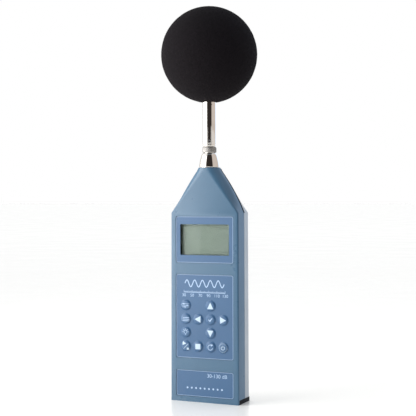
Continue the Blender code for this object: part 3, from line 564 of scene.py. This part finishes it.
def make_key(name):
    """Domed key with the flange and the stem that sit behind the film."""
    x, z = key_centre(name)
    film = key_high.y - film_front
    flange_back, flange_front = film - 2.9 * MM, film - 2.1 * MM
    profile = [(0, 0.0), (KEY_STEM, 0.0), (KEY_STEM, flange_back), (KEY_FLANGE, flange_back)]
    profile += [(KEY_FLANGE, flange_front), (KEY_EDGE, flange_front), (KEY_EDGE, film - 0.05 * MM)]
    for i in range(1, DOME_STEPS + 1):
        radius = KEY_EDGE - (KEY_EDGE - PLATEAU) * i / DOME_STEPS
        profile.append((radius, film + dome_height(radius)))
    for share in (0.8, 0.6, 0.4, 0.2):
        profile.append((PLATEAU * share, film + dome_height(PLATEAU * share)))
    profile.append((0, film + KEY_RISE))
    bm = bmesh.new()
    place = Matrix.Translation((x, key_high.y, z)) @ Matrix.Rotation(math.pi / 2, 4, "X")
    spin(bm, profile, KEY_STEPS, place)
    obj = add_object(name + "_dome", bm, "key", name, 40)
    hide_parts(name)


for node_name in NODES:
    if node_name.startswith("key_"):
        make_key(node_name)


# ---------------------------------------------------------------- printed marks

PRINT_RISE = 0.03 * MM
PRINT_SPLIT = 0.7 * MM
PRINT_WELD = 1e-6
PRINT_ANGLE = 50


def stroke(points, width, closed=False):
    """Ribbon of quads along a line of (x, z) points, as a list of polygons."""
    points = [Vector(p) for p in points]
    total = len(points)
    sides = []
    for i, here in enumerate(points):
        before = points[i - 1] if closed or i else None
        after = points[(i + 1) % total] if closed or i < total - 1 else None
        run = (after or here) - (before or here)
        run.normalize()
        side = Vector((-run.y, run.x))
        stretch = 1.0
        if before is not None and after is not None:
            first = (here - before).normalized()
            corner = abs(side.dot(Vector((-first.y, first.x))))
            stretch = 1 / max(corner, 0.5)
        sides.append(side * width / 2 * stretch)
    polygons = []
    for i in range(total if closed else total - 1):
        j = (i + 1) % total
        left = [points[i] - sides[i], points[j] - sides[j]]
        polygons.append(left + [points[j] + sides[j], points[i] + sides[i]])
    return polygons


def arc(cx, cz, radius, start, end, count=24):
    angles = [math.radians(start + (end - start) * i / count) for i in range(count + 1)]
    return [(cx + radius * math.cos(a), cz + radius * math.sin(a)) for a in angles]


def disc(cx, cz, radius, count=24):
    return [arc(cx, cz, radius, 0, 360 * (count - 1) / count, count - 1)]


def bar(x0, z0, x1, z1):
    return [[(x0, z0), (x1, z0), (x1, z1), (x0, z1)]]


def print_marks(name, polygons, centre, surface, look, body, split=PRINT_SPLIT):
    """Lays thin inked shapes on a surface. Polygons are in mm about the centre, surface gives Y."""
    bm = bmesh.new()
    cx, cz = centre
    for polygon in polygons:
        bm.faces.new([bm.verts.new((p[0] * MM, 0, p[1] * MM)) for p in polygon])
    bmesh.ops.remove_doubles(bm, verts=bm.verts, dist=PRINT_WELD)
    bmesh.ops.recalc_face_normals(bm, faces=bm.faces)
    for face in bm.faces:
        if face.normal.y > 0:
            face.normal_flip()
    if split:
        for _ in range(4):
            long_edges = [e for e in bm.edges if e.calc_length() > split]
            if not long_edges:
                break
            bmesh.ops.subdivide_edges(bm, edges=long_edges, cuts=1, use_grid_fill=True)
        bmesh.ops.triangulate(bm, faces=[f for f in bm.faces if len(f.verts) > 4])
    extruded = bmesh.ops.extrude_face_region(bm, geom=list(bm.faces))
    raised = {e for e in extruded["geom"] if isinstance(e, bmesh.types.BMVert)}
    for vert in bm.verts:
        base = surface(vert.co.x, vert.co.z)
        vert.co.y = base - PRINT_RISE if vert in raised else base + PRINT_RISE
    bmesh.ops.translate(bm, verts=bm.verts, vec=(cx, 0, cz))
    return add_object(name, bm, look, body, PRINT_ANGLE)


def flat(y):
    return lambda x, z: y


def dome(x, z):
    return film_front - dome_height(math.hypot(x, z))


TRIANGLE = ((-2.5, -2.2), (2.5, -2.2), (0.0, 2.6))


def turned_points(points, degrees):
    c, s = math.cos(math.radians(degrees)), math.sin(math.radians(degrees))
    return [(x * c - z * s, x * s + z * c) for x, z in points]


def slider_icon():
    shapes = []
    for z, knob in ((1.1, -1.3), (-0.1, 1.4), (-1.3, -0.3)):
        shapes += bar(-3.2, z - 0.14, 3.2, z + 0.14)
        shapes += bar(knob - 0.42, z - 0.48, knob + 0.42, z + 0.48)
    return shapes


def list_icon():
    shapes = []
    for z in (0.9, -0.3, -1.5):
        shapes += disc(-2.9, z, 0.36, 12)
        shapes += bar(-2.1, z - 0.24, 3.1, z + 0.24)
    return shapes


def lamp_icon():
    shapes = stroke(arc(0, 0.5, 1.25, -50, 230, 20), 0.42)
    shapes += bar(-0.62, -1.15, 0.62, -0.75) + bar(-0.45, -1.75, 0.45, -1.40)
    for angle in (0, 45, 90, 135, 180):
        c, s = math.cos(math.radians(angle)), math.sin(math.radians(angle))
        shapes += stroke([(1.9 * c, 0.5 + 1.9 * s), (2.6 * c, 0.5 + 2.6 * s)], 0.36)
    return shapes


def reset_icon():
    ring = arc(0, -0.2, 1.9, 60, 350, 26)
    x, z = ring[0]
    return stroke(ring, 0.46) + [[(x - 0.15, z - 0.95), (x + 1.25, z + 0.35), (x - 0.55, z + 0.85)]]


def play_pause_icon():
    play = [(-2.4, 0.4), (0.5, 1.9), (-2.4, 3.4)]
    return [play] + bar(1.0, -3.0, 2.7, -1.3) + stroke([(-1.6, -2.2), (2.3, 1.7)], 0.28)


def power_icon():
    shapes = stroke(arc(0, 0, 3.1, 0, 352, 36), 0.55, closed=True)
    return shapes + stroke(arc(0, -0.1, 1.35, 125, 415, 22), 0.40) + bar(-0.2, 0.1, 0.2, 1.8)


ICONS = {
    "key_up": [turned_points(TRIANGLE, 0)],
    "key_down": [turned_points(TRIANGLE, 180)],
    "key_left": [turned_points(TRIANGLE, 90)],
    "key_right": [turned_points(TRIANGLE, 270)],
    "key_stop": bar(-2.05, -2.0, 2.05, 2.0),
    "key_play_pause": play_pause_icon(),
    "key_power": power_icon(),
    "key_setup": slider_icon(),
    "key_menu": list_icon(),
    "key_light": lamp_icon(),
    "key_reset": reset_icon(),
    "key_ok": stroke([(-1.5, 0.1), (-0.45, -1.1), (1.6, 1.2)], 0.52),
}
BRIGHT_ICONS = (
    "key_up", "key_down", "key_left", "key_right", "key_stop", "key_play_pause", "key_power",
)
ICON_SCALE = 1.25
for key_name, shapes in ICONS.items():
    ink = "symbol" if key_name in BRIGHT_ICONS else "print"
    shapes = [[(p[0] * ICON_SCALE, p[1] * ICON_SCALE) for p in shape] for shape in shapes]
    print_marks(key_name + "_mark", shapes, key_centre(key_name), dome, ink, key_name)


BORDER_INSET = 0.30
BORDER_CORNER = 1.4
BORDER_STROKE = 0.46


def border_outline(node, inset, corner):
    """Rounded rectangle just inside a film's edge, in mm, and the film's centre."""
    a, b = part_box(node)
    cx, cz = (a.x + b.x) / 2, (a.z + b.z) / 2
    half_x, half_z = (b.x - a.x) / 2 / MM - inset, (b.z - a.z) / 2 / MM - inset
    points = []
    for sx, sz, start in ((1, -1, -90), (1, 1, 0), (-1, 1, 90), (-1, -1, 180)):
        points += arc(sx * (half_x - corner), sz * (half_z - corner), corner, start, start + 90, 5)
    return points, (cx, cz)


for node_name in NODE_LOOKS["film"]:
    points, centre = border_outline(node_name, BORDER_INSET, BORDER_CORNER)
    shapes = stroke(points, BORDER_STROKE, closed=True)
    surface = flat(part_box(node_name)[0].y)
    print_marks(node_name + "_border", shapes, centre, surface, "border", "case", split=0)


def print_on_film(name, polygons, z):
    """Prints flat marks on a film, centred across the case."""
    print_marks(name, polygons, (0, z * MM), flat(film_front), "print", "case", split=0)


def digits(name, text, size, centre):
    """Plain numbers as a thin solid, centred on (x, z) of the film."""
    curve = bpy.data.curves.new(name, "FONT")
    curve.body = text
    curve.size = size * MM
    curve.align_x = "CENTER"
    curve.align_y = "CENTER"
    curve.extrude = PRINT_RISE
    curve.resolution_u = 4
    obj = bpy.data.objects.new(name, curve)
    bpy.context.scene.collection.objects.link(obj)
    graph = bpy.context.evaluated_depsgraph_get()
    mesh = bpy.data.meshes.new_from_object(obj.evaluated_get(graph), depsgraph=graph)
    bpy.data.objects.remove(obj)
    x, z = centre
    place = Matrix.Translation((x * MM, film_front, z * MM))
    mesh.transform(place @ Matrix.Rotation(math.pi / 2, 4, "X"))
    bm = bmesh.new()
    bm.from_mesh(mesh)
    bpy.data.meshes.remove(mesh)
    return add_object(name, bm, "print", "case", PRINT_ANGLE)


WAVE_Z = 110.6
WAVE_COUNT = 5
WAVE_HALF_WIDTH = 20
WAVE_HEIGHT = 3.2
WAVE_STROKE = 0.85
WAVE_STEPS = 120


def even_wave():
    """Plain sine line of even height, in place of a title."""
    line = []
    for i in range(WAVE_STEPS + 1):
        share = i / WAVE_STEPS
        height = WAVE_HEIGHT * math.sin(2 * math.pi * WAVE_COUNT * share)
        line.append((WAVE_HALF_WIDTH * (2 * share - 1), height))
    return stroke(line, WAVE_STROKE)


print_on_film("wave_mark", even_wave(), WAVE_Z)

SCALE_Z = 102.4
SCALE_HALF_WIDTH = 21
SCALE_TICKS = 50
TICK_HALF_WIDTH = 0.16
SCALE_NUMBERS = (30, 50, 70, 90, 110, 130)
NUMBERS_Z = 99.5
NUMBER_SIZE = 4.0
RANGE_SIZE = 4.9


def scale_ticks():
    """Row of ticks over a base line, with taller ones at each fifth and each tenth."""
    reach = SCALE_HALF_WIDTH + TICK_HALF_WIDTH
    shapes = bar(-reach, -0.35, reach, 0.0)
    for i in range(SCALE_TICKS + 1):
        tall = 1.9 if i % 10 == 0 else (1.4 if i % 5 == 0 else 0.9)
        x = SCALE_HALF_WIDTH * (2 * i / SCALE_TICKS - 1)
        shapes += bar(x - TICK_HALF_WIDTH, 0, x + TICK_HALF_WIDTH, tall)
    return shapes


print_on_film("scale_ticks", scale_ticks(), SCALE_Z)
for i, number in enumerate(SCALE_NUMBERS):
    x = SCALE_HALF_WIDTH * (2 * i / (len(SCALE_NUMBERS) - 1) - 1)
    digits(f"scale_number_{number}", str(number), NUMBER_SIZE, (x, NUMBERS_Z))
digits("range_numbers", "30-130 dB", RANGE_SIZE, (12.6, 25.0))

DOT_COUNT = 9
DOT_PITCH = 4.4
DOT_RADIUS = 0.9
DOTS_Z = 13.0
dots = []
for i in range(DOT_COUNT):
    dots += disc((i - (DOT_COUNT - 1) / 2) * DOT_PITCH, 0, DOT_RADIUS)
print_on_film("level_dots", dots, DOTS_Z)


# ---------------------------------------------------------------- painted seam shadow

SHOULDER_Z = 176.5 * MM
SEAM_SHADOW_TOP = nose_top - 1.0 * MM
SEAM_SHADOW_REACH = 0.55 * MM
SEAM_SHADOW_RISE = 0.40 * MM
SEAM_SHADOW_ROOT = 0.30 * MM
SEAM_SHADOW_STEPS = 30


def shell_tree(node_name):
    """Search tree of a shell's surface in world coordinates."""
    node = NODES[node_name]
    points = [node.matrix_world @ vert.co for vert in node.data.vertices]
    return BVHTree.FromPolygons(points, [tuple(face.vertices) for face in node.data.polygons])


def surface_reach(tree, side, y, z):
    """How far a shell reaches out from the middle plane at a height and depth."""
    hit = tree.ray_cast(Vector((side * case_high.x * 1.5, y, z)), Vector((-side, 0, 0)))[0]
    return hit.x if hit else None


def nose_gasket(name, side):
    """Dark strip along one flank of the nose: painted shadow in the seam between the two shells."""
    front, rear = shell_tree("front_shell"), shell_tree("rear_shell")
    front_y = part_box("front_shell")[1].y - SEAM_SHADOW_REACH
    rear_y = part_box("rear_shell")[0].y + SEAM_SHADOW_REACH
    rows = []
    for i in range(SEAM_SHADOW_STEPS + 1):
        z = SHOULDER_Z + (SEAM_SHADOW_TOP - SHOULDER_Z) * i / SEAM_SHADOW_STEPS
        ends = (surface_reach(front, side, front_y, z), surface_reach(rear, side, rear_y, z))
        if None in ends:
            continue
        raised = [reach + side * SEAM_SHADOW_RISE for reach in ends]
        sunk = [reach - side * SEAM_SHADOW_ROOT for reach in ends]
        corners = ((raised[0], front_y), (raised[1], rear_y), (sunk[1], rear_y), (sunk[0], front_y))
        rows.append([Vector((x, y, z)) for x, y in corners])
    bm = bmesh.new()
    rings = [[bm.verts.new(point) for point in row] for row in rows]
    for lower, upper in zip(rings, rings[1:]):
        for i in range(4):
            j = (i + 1) % 4
            bm.faces.new((lower[i], lower[j], upper[j], upper[i]))
    bm.faces.new(rings[0])
    bm.faces.new(rings[-1])
    # The strip is painted shadow: a near-black piece standing where the seam between the shells is only
    # in shade.
    return add_object(name, bm, "painted_seam_shadow", "case")


nose_gasket("nose_painted_seam_shadow_left", -1)
nose_gasket("nose_painted_seam_shadow_right", 1)


# ---------------------------------------------------------------- foam windshield

FOAM_SEED = 1
FOAM_CUTS = 118
FOAM_MARGIN = 0.30 * MM
GRAIN_HEIGHT = 0.26 * MM
LUMP_HEIGHT = 0.10 * MM
PIT_DEPTH = 0.30 * MM
CELL_SHAKE = 0.004
FOAM_BORE = 6.9 * MM
BORE_TOP = 336 * MM
BORE_OVERRUN = 5 * MM


def foam_ball():
    """Ball of open-cell foam: an evenly divided cube blown up to a sphere, then made coarse."""
    limit = (ball_high.x - ball_low.x) / 2
    centre = (ball_low + ball_high) / 2
    bm = bmesh.new()
    bmesh.ops.create_cube(bm, size=2.0)
    bmesh.ops.subdivide_edges(bm, edges=bm.edges, cuts=FOAM_CUTS, use_grid_fill=True)
    noise.seed_set(FOAM_SEED)
    for vert in bm.verts:
        even = Vector([math.tan(c * math.pi / 4) for c in vert.co])
        out = even.normalized()
        out = (out + noise.noise_vector(out * 53) * CELL_SHAKE).normalized()
        at = out * limit
        grain = noise.noise(at * 900) * 0.5 + noise.noise(at * 2000 + Vector((7, 3, 1))) * 0.35
        lump = noise.noise(at * 60) * 0.6 + noise.noise(at * 180) * 0.4
        pit = 0.5 - min(noise.voronoi(at * 750)[0][0], 0.5)
        reach = limit - FOAM_MARGIN + GRAIN_HEIGHT * grain + LUMP_HEIGHT * lump - PIT_DEPTH * pit
        vert.co = centre + out * min(reach, limit)
    return add_object("windshield_foam", bm, "foam", "windshield", 180)


ball = foam_ball()
bore_depth = BORE_TOP - ball_low.z + BORE_OVERRUN
drill("bore", ball, FOAM_BORE, bore_depth, 64, Matrix.Translation((0, 0, BORE_TOP - bore_depth / 2)))
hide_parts("windshield")


# ---------------------------------------------------------------- studio


def studio_world():
    """Room seen in reflections, a lighter one for diffuse light, and plain white for the camera."""
    world = bpy.data.worlds.new("studio")
    bpy.context.scene.world = world
    world.use_nodes = True
    tree = world.node_tree
    tree.nodes.clear()

    def new(kind, **settings):
        node = tree.nodes.new(kind)
        for key, value in settings.items():
            setattr(node, key, value)
        return node

    def heading_ramp(share, stops):
        """Colour by heading, from stops in degrees from the front's normal."""
        ramp = new("ShaderNodeValToRGB")
        tree.links.new(share.outputs["Result"], ramp.inputs["Fac"])
        band = ramp.color_ramp
        while len(band.elements) < len(stops):
            band.elements.new(0.5)
        for element, (degrees, colour) in zip(band.elements, stops):
            element.position = (degrees + 180) / 360
            element.color = (*colour, 1.0)
        return ramp.outputs["Color"]

    def roofed(walls, ceiling, start, end):
        """Walls that turn into a ceiling between two heights of the ray's direction."""
        top = new("ShaderNodeMapRange")
        top.inputs["From Min"].default_value = start
        top.inputs["From Max"].default_value = end
        tree.links.new(split.outputs["Z"], top.inputs["Value"])
        cover = new("ShaderNodeMix", data_type="RGBA")
        tree.links.new(top.outputs["Result"], cover.inputs["Factor"])
        tree.links.new(walls, cover.inputs[6])
        cover.inputs[7].default_value = (*ceiling, 1.0)
        return cover.outputs[2]

    direction = new("ShaderNodeTexCoord").outputs["Generated"]
    split = new("ShaderNodeSeparateXYZ")
    tree.links.new(direction, split.inputs[0])
    flip = new("ShaderNodeMath", operation="MULTIPLY")
    tree.links.new(split.outputs["Y"], flip.inputs[0])
    flip.inputs[1].default_value = -1.0
    heading = new("ShaderNodeMath", operation="ARCTAN2")
    tree.links.new(split.outputs["X"], heading.inputs[0])
    tree.links.new(flip.outputs[0], heading.inputs[1])
    share = new("ShaderNodeMapRange")
    share.inputs["From Min"].default_value = -math.pi
    share.inputs["From Max"].default_value = math.pi
    tree.links.new(heading.outputs[0], share.inputs["Value"])
    rays = new("ShaderNodeLightPath")
    room = new("ShaderNodeMix", data_type="RGBA")
    tree.links.new(rays.outputs["Is Diffuse Ray"], room.inputs["Factor"])
    tree.links.new(roofed(heading_ramp(share, MIRRORED_STOPS), CEILING, 0.70, 0.95), room.inputs[6])
    tree.links.new(roofed(heading_ramp(share, STUDIO_STOPS), LIT_CEILING, 0.35, 0.75), room.inputs[7])
    pick = new("ShaderNodeMix", data_type="RGBA")
    tree.links.new(rays.outputs["Is Camera Ray"], pick.inputs["Factor"])
    tree.links.new(room.outputs[2], pick.inputs[6])
    pick.inputs[7].default_value = (1.0, 1.0, 1.0, 1.0)
    background = new("ShaderNodeBackground")
    tree.links.new(pick.outputs[2], background.inputs["Color"])
    background.inputs["Strength"].default_value = 1.0
    out = new("ShaderNodeOutputWorld")
    tree.links.new(background.outputs[0], out.inputs["Surface"])


DARK = (0.03, 0.025, 0.023)
BEIGE = (0.60, 0.54, 0.50)
DUSK = (0.85, 0.92, 1.06)
CEILING = (0.74, 0.85, 0.97)
LIT_CEILING = (0.98, 1.02, 1.06)
COOL = (0.86, 1.00, 1.20)
GLINT = (0.98, 1.16, 1.45)
BRIGHT = (1.0, 1.0, 0.99)
BACKDROP = (1.12, 1.12, 1.12)
CONTOUR = (0.45, 0.43, 0.42)
STUDIO_STOPS = (
    (-180, BRIGHT),
    (-100, BRIGHT),
    (-22, BRIGHT),
    (-17, DARK),
    (50, DARK),
    (55, DUSK),
    (85, DUSK),
    (100, COOL),
    (180, COOL),
)
MIRRORED_STOPS = (
    (-180, BACKDROP),
    (-138, BACKDROP),
    (-132, CONTOUR),
    (-118, CONTOUR),
    (-112, BRIGHT),
    (-16, BRIGHT),
    (-11, DARK),
    (60, DARK),
    (65, BEIGE),
    (144, BEIGE),
    (152, GLINT),
    (172, GLINT),
    (178, BACKDROP),
)
studio_world()


def softbox(name, degrees, distance, height, size, radiance):
    """Rectangular light that faces the object, at a heading from the front's normal."""
    data = bpy.data.lights.new(name, "AREA")
    data.shape = "RECTANGLE"
    data.size, data.size_y = size
    data.energy = radiance * math.pi * size[0] * size[1]
    obj = bpy.data.objects.new(name, data)
    angle = math.radians(degrees)
    obj.location = (distance * math.sin(angle), -distance * math.cos(angle), height)
    aim = Vector((0, 0, height)) - obj.location
    obj.rotation_euler = aim.to_track_quat("-Z", "Y").to_euler()
    obj.visible_camera = False
    bpy.context.scene.collection.objects.link(obj)


softbox("softbox_left", degrees=-53, distance=0.60, height=0.22, size=(0.64, 0.80), radiance=4.7)

FLOOR_SIZE = 40.0


def floor():
    bm = bmesh.new()
    bmesh.ops.create_grid(bm, x_segments=1, y_segments=1, size=FLOOR_SIZE)
    mesh = bpy.data.meshes.new("floor")
    bm.to_mesh(mesh)
    bm.free()
    made, g = material("white_acrylic", (0.95, 0.92, 0.87), 0.22, IOR=1.6)
    g.feed("Roughness", g.span(g.noise(6, 3), 0.3, 0.7, 0.20, 0.24))
    mesh.materials.append(made)
    obj = bpy.data.objects.new("floor", mesh)
    bpy.context.scene.collection.objects.link(obj)


floor()


def camera():
    """Long lens at about the middle of the object's height, turned round to its right."""
    lens = 90.79
    distance, aside, height = 0.98491, -0.00145, 0.18929
    yaw, pitch, roll = math.radians(24.41), math.radians(-0.488), math.radians(-0.14)
    right = Vector((math.cos(yaw), math.sin(yaw), 0))
    forward = Vector((-math.sin(yaw), math.cos(yaw), 0))
    up = Vector((0, 0, 1))
    look = forward * math.cos(pitch) + up * math.sin(pitch)
    above = up * math.cos(pitch) - forward * math.sin(pitch)
    x_axis = right * math.cos(roll) + above * math.sin(roll)
    y_axis = above * math.cos(roll) - right * math.sin(roll)
    data = bpy.data.cameras.new("camera")
    data.lens = lens
    data.sensor_width = 36.0
    obj = bpy.data.objects.new("camera", data)
    turn = Matrix((x_axis, y_axis, -look)).transposed().to_4x4()
    obj.matrix_world = Matrix.Translation(right * aside - forward * distance + up * height) @ turn
    bpy.context.scene.collection.objects.link(obj)
    bpy.context.scene.camera = obj


camera()
bpy.context.scene.view_settings.view_transform = "Standard"
